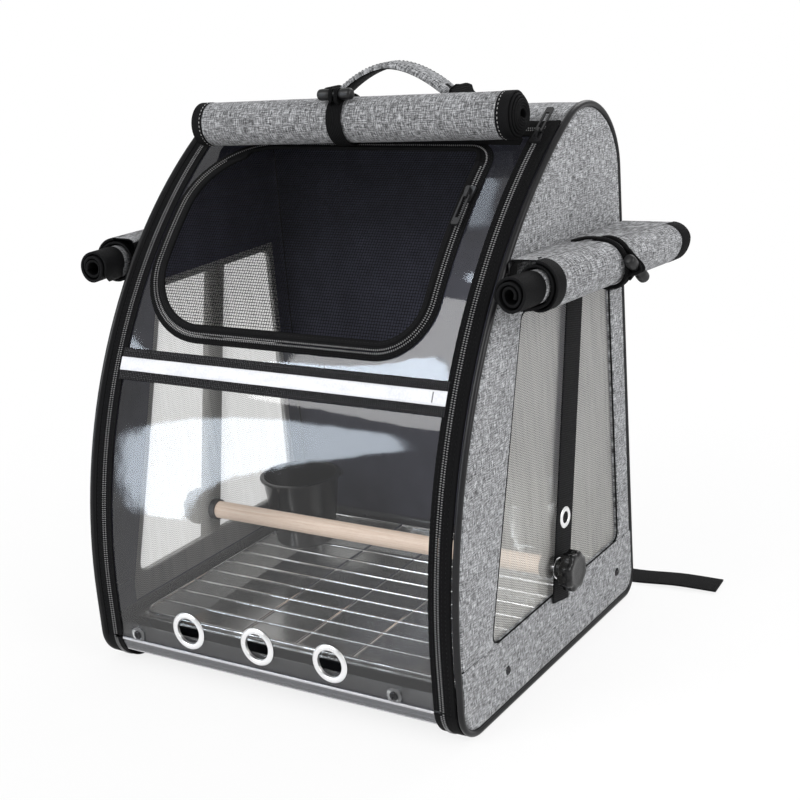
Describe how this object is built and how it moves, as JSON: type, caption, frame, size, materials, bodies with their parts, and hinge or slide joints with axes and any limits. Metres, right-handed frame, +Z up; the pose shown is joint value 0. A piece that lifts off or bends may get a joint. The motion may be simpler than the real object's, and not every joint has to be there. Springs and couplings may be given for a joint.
{
  "type": "bird travel carrier",
  "caption": "Soft-sided backpack carrier for a pet bird: clear front door with a mesh door in it, mesh side windows, perch, grid and tray.",
  "frame": {"origin": "on the ground under the middle of the bag, at the underside of the base board", "axes": "+X to the right side of the bag seen from the front, -Y towards the front door, +Z up"},
  "size_m": [0.4709, 0.3352, 0.452],
  "materials": {
    "grey_melange": "plain woven melange polyester over a thin board",
    "lining": "smooth woven lining",
    "black_webbing": "ribbed nylon webbing",
    "black_binding": "smooth bias binding and piping",
    "zip_tape": "ribbed zip tape",
    "zip_coil": "moulded coil",
    "clear_sheet": "clear glossy vinyl",
    "clear_plastic": "clear moulded plastic",
    "smoke_plastic": "dark smoky moulded plastic",
    "reflective": "black webbing with a silver reflective middle band",
    "black_mesh": "open knitted mesh",
    "pale_mesh": "fine woven mesh",
    "steel": "satin stainless steel",
    "steel_wire": "polished stainless wire",
    "chrome_ring": "bright plated",
    "black_metal": "black enamel",
    "bolt_steel": "zinc plated",
    "beech": "sanded pale wood",
    "black_knob": "glossy moulded plastic",
    "black_plastic": "satin moulded plastic"
  },
  "bodies": {
    "root": {"back_panel": "grey_melange", "base_board": "lining", "base_rim": "clear_plastic", "body_zip_coils": "zip_coil", "body_zip_tapes": "zip_tape", "crown_panel": "grey_melange", "front_sill": "clear_sheet", "handle_anchors": "black_webbing", "ladder_lock_left": "black_plastic", "ladder_lock_right": "black_plastic", "lower_webbing_left": "black_webbing", "lower_webbing_right": "black_webbing", "perch_bolts": "bolt_steel", "perch_dowel": "beech", "perch_strap_left": "black_webbing", "perch_strap_right": "black_webbing", "perch_washers": "black_plastic", "rim_screws": "black_metal", "shoulder_pad_left": "grey_melange", "shoulder_pad_right": "grey_melange", "side_cover_roll_left": "grey_melange", "side_cover_roll_right": "grey_melange", "side_cover_tie_left": "black_webbing", "side_cover_tie_right": "black_webbing", "side_mesh_left": "pale_mesh", "side_mesh_right": "pale_mesh", "side_panel_left": "grey_melange", "side_panel_right": "grey_melange", "side_piping_left": "black_binding", "side_piping_right": "black_binding", "side_skirt_left": "grey_melange", "side_skirt_right": "grey_melange", "strap_eyelets": "chrome_ring", "webbing_tails": "black_webbing"},
    "front_door": {"clear_door": "clear_sheet", "door_zip_tape": "zip_tape", "door_zip_coil": "zip_coil", "reflective_webbing": "reflective", "door_grommets": "chrome_ring", "mesh_zip_frame": "zip_tape", "front_cover_roll": "grey_melange", "front_cover_tie": "black_webbing"},
    "mesh_door": {"mesh_door_binding": "black_binding", "mesh_door_mesh": "black_mesh"},
    "slider_left": {"door_slider_left": "black_metal"},
    "slider_right": {"door_slider_right": "black_metal"},
    "puller_left": {"door_puller_left": "black_metal"},
    "puller_right": {"door_puller_right": "black_metal"},
    "slider_mesh": {"mesh_slider": "black_metal"},
    "puller_mesh": {"mesh_puller": "black_metal"},
    "handle": {"handle_grip": "grey_melange"},
    "tray": {"steel_tray": "steel"},
    "grid": {"wire_grid": "steel_wire"},
    "cup_left": {"feeder_cup_left": "smoke_plastic"},
    "cup_right": {"feeder_cup_right": "clear_plastic"},
    "knob_left": {"perch_knob_left": "black_knob"},
    "knob_right": {"perch_knob_right": "black_knob"},
    "toggle_front": {"front_toggle": "black_plastic"},
    "toggle_left": {"side_toggle_left": "black_plastic"},
    "toggle_right": {"side_toggle_right": "black_plastic"}
  },
  "joints": [
    {"name": "front_door_fold", "type": "hinge", "parent": "root", "child": "front_door", "pos_m": [0, -0.145, 0.026], "axis": [1, 0, 0], "range_deg": [0, 90]},
    {"name": "mesh_door_fold", "type": "hinge", "parent": "front_door", "child": "mesh_door", "pos_m": [0, 0.01745, 0.38613], "axis": [-1, 0, 0], "range_deg": [0, 70]},
    {"name": "zip_travel_left", "type": "hinge", "parent": "front_door", "child": "slider_left", "pos_m": [-0.1536, 0.2591, 0.06], "axis": [1, 0, 0], "range_deg": [0, 56]},
    {"name": "puller_swing_left", "type": "hinge", "parent": "slider_left", "child": "puller_left", "pos_m": [-0.1536, 0.04018, 0.40407], "axis": [1, 0, 0], "range_deg": [0, 150]},
    {"name": "zip_travel_right", "type": "hinge", "parent": "front_door", "child": "slider_right", "pos_m": [0.1536, 0.2591, 0.06], "axis": [1, 0, 0], "range_deg": [0, 56]},
    {"name": "puller_swing_right", "type": "hinge", "parent": "slider_right", "child": "puller_right", "pos_m": [0.1536, 0.04018, 0.40407], "axis": [1, 0, 0], "range_deg": [0, 150]},
    {"name": "mesh_zip_travel", "type": "hinge", "parent": "mesh_door", "child": "slider_mesh", "pos_m": [0.1208, 0.2591, 0.06], "axis": [1, 0, 0], "range_deg": [0, 11]},
    {"name": "mesh_puller_swing", "type": "hinge", "parent": "slider_mesh", "child": "puller_mesh", "pos_m": [0.1208, -0.0123, 0.36572], "axis": [-1, 0, 0], "range_deg": [0, 150]},
    {"name": "handle_swing", "type": "hinge", "parent": "root", "child": "handle", "pos_m": [0, 0.092, 0.427], "axis": [1, 0, 0], "range_deg": [-45, 45]},
    {"name": "tray_lift", "type": "slide", "parent": "root", "child": "tray", "axis": [0, 0, 1], "range_m": [0, 0.016]},
    {"name": "grid_lift", "type": "slide", "parent": "tray", "child": "grid", "axis": [0, 0, 1], "range_m": [0, 0.018]},
    {"name": "cup_lift_left", "type": "slide", "parent": "grid", "child": "cup_left", "axis": [0, 0, 1], "range_m": [0, 0.1]},
    {"name": "cup_lift_right", "type": "slide", "parent": "grid", "child": "cup_right", "axis": [0, 0, 1], "range_m": [0, 0.1]},
    {"name": "knob_turn_left", "type": "hinge", "parent": "root", "child": "knob_left", "pos_m": [-0.182, 0.004, 0.078], "axis": [-1, 0, 0], "continuous": true},
    {"name": "knob_turn_right", "type": "hinge", "parent": "root", "child": "knob_right", "pos_m": [0.182, 0.004, 0.078], "axis": [1, 0, 0], "continuous": true},
    {"name": "toggle_turn_front", "type": "hinge", "parent": "front_door", "child": "toggle_front", "pos_m": [-0.002, 0.01118, 0.43574], "axis": [0, -0.5035, 0.864], "range_deg": [-80, 80]},
    {"name": "toggle_turn_left", "type": "hinge", "parent": "root", "child": "toggle_left", "pos_m": [-0.22668, 0.042, 0.306], "axis": [-1, 0, 0], "range_deg": [-60, 60]},
    {"name": "toggle_turn_right", "type": "hinge", "parent": "root", "child": "toggle_right", "pos_m": [0.22668, 0.042, 0.306], "axis": [1, 0, 0], "range_deg": [-60, 60]}
  ]
}
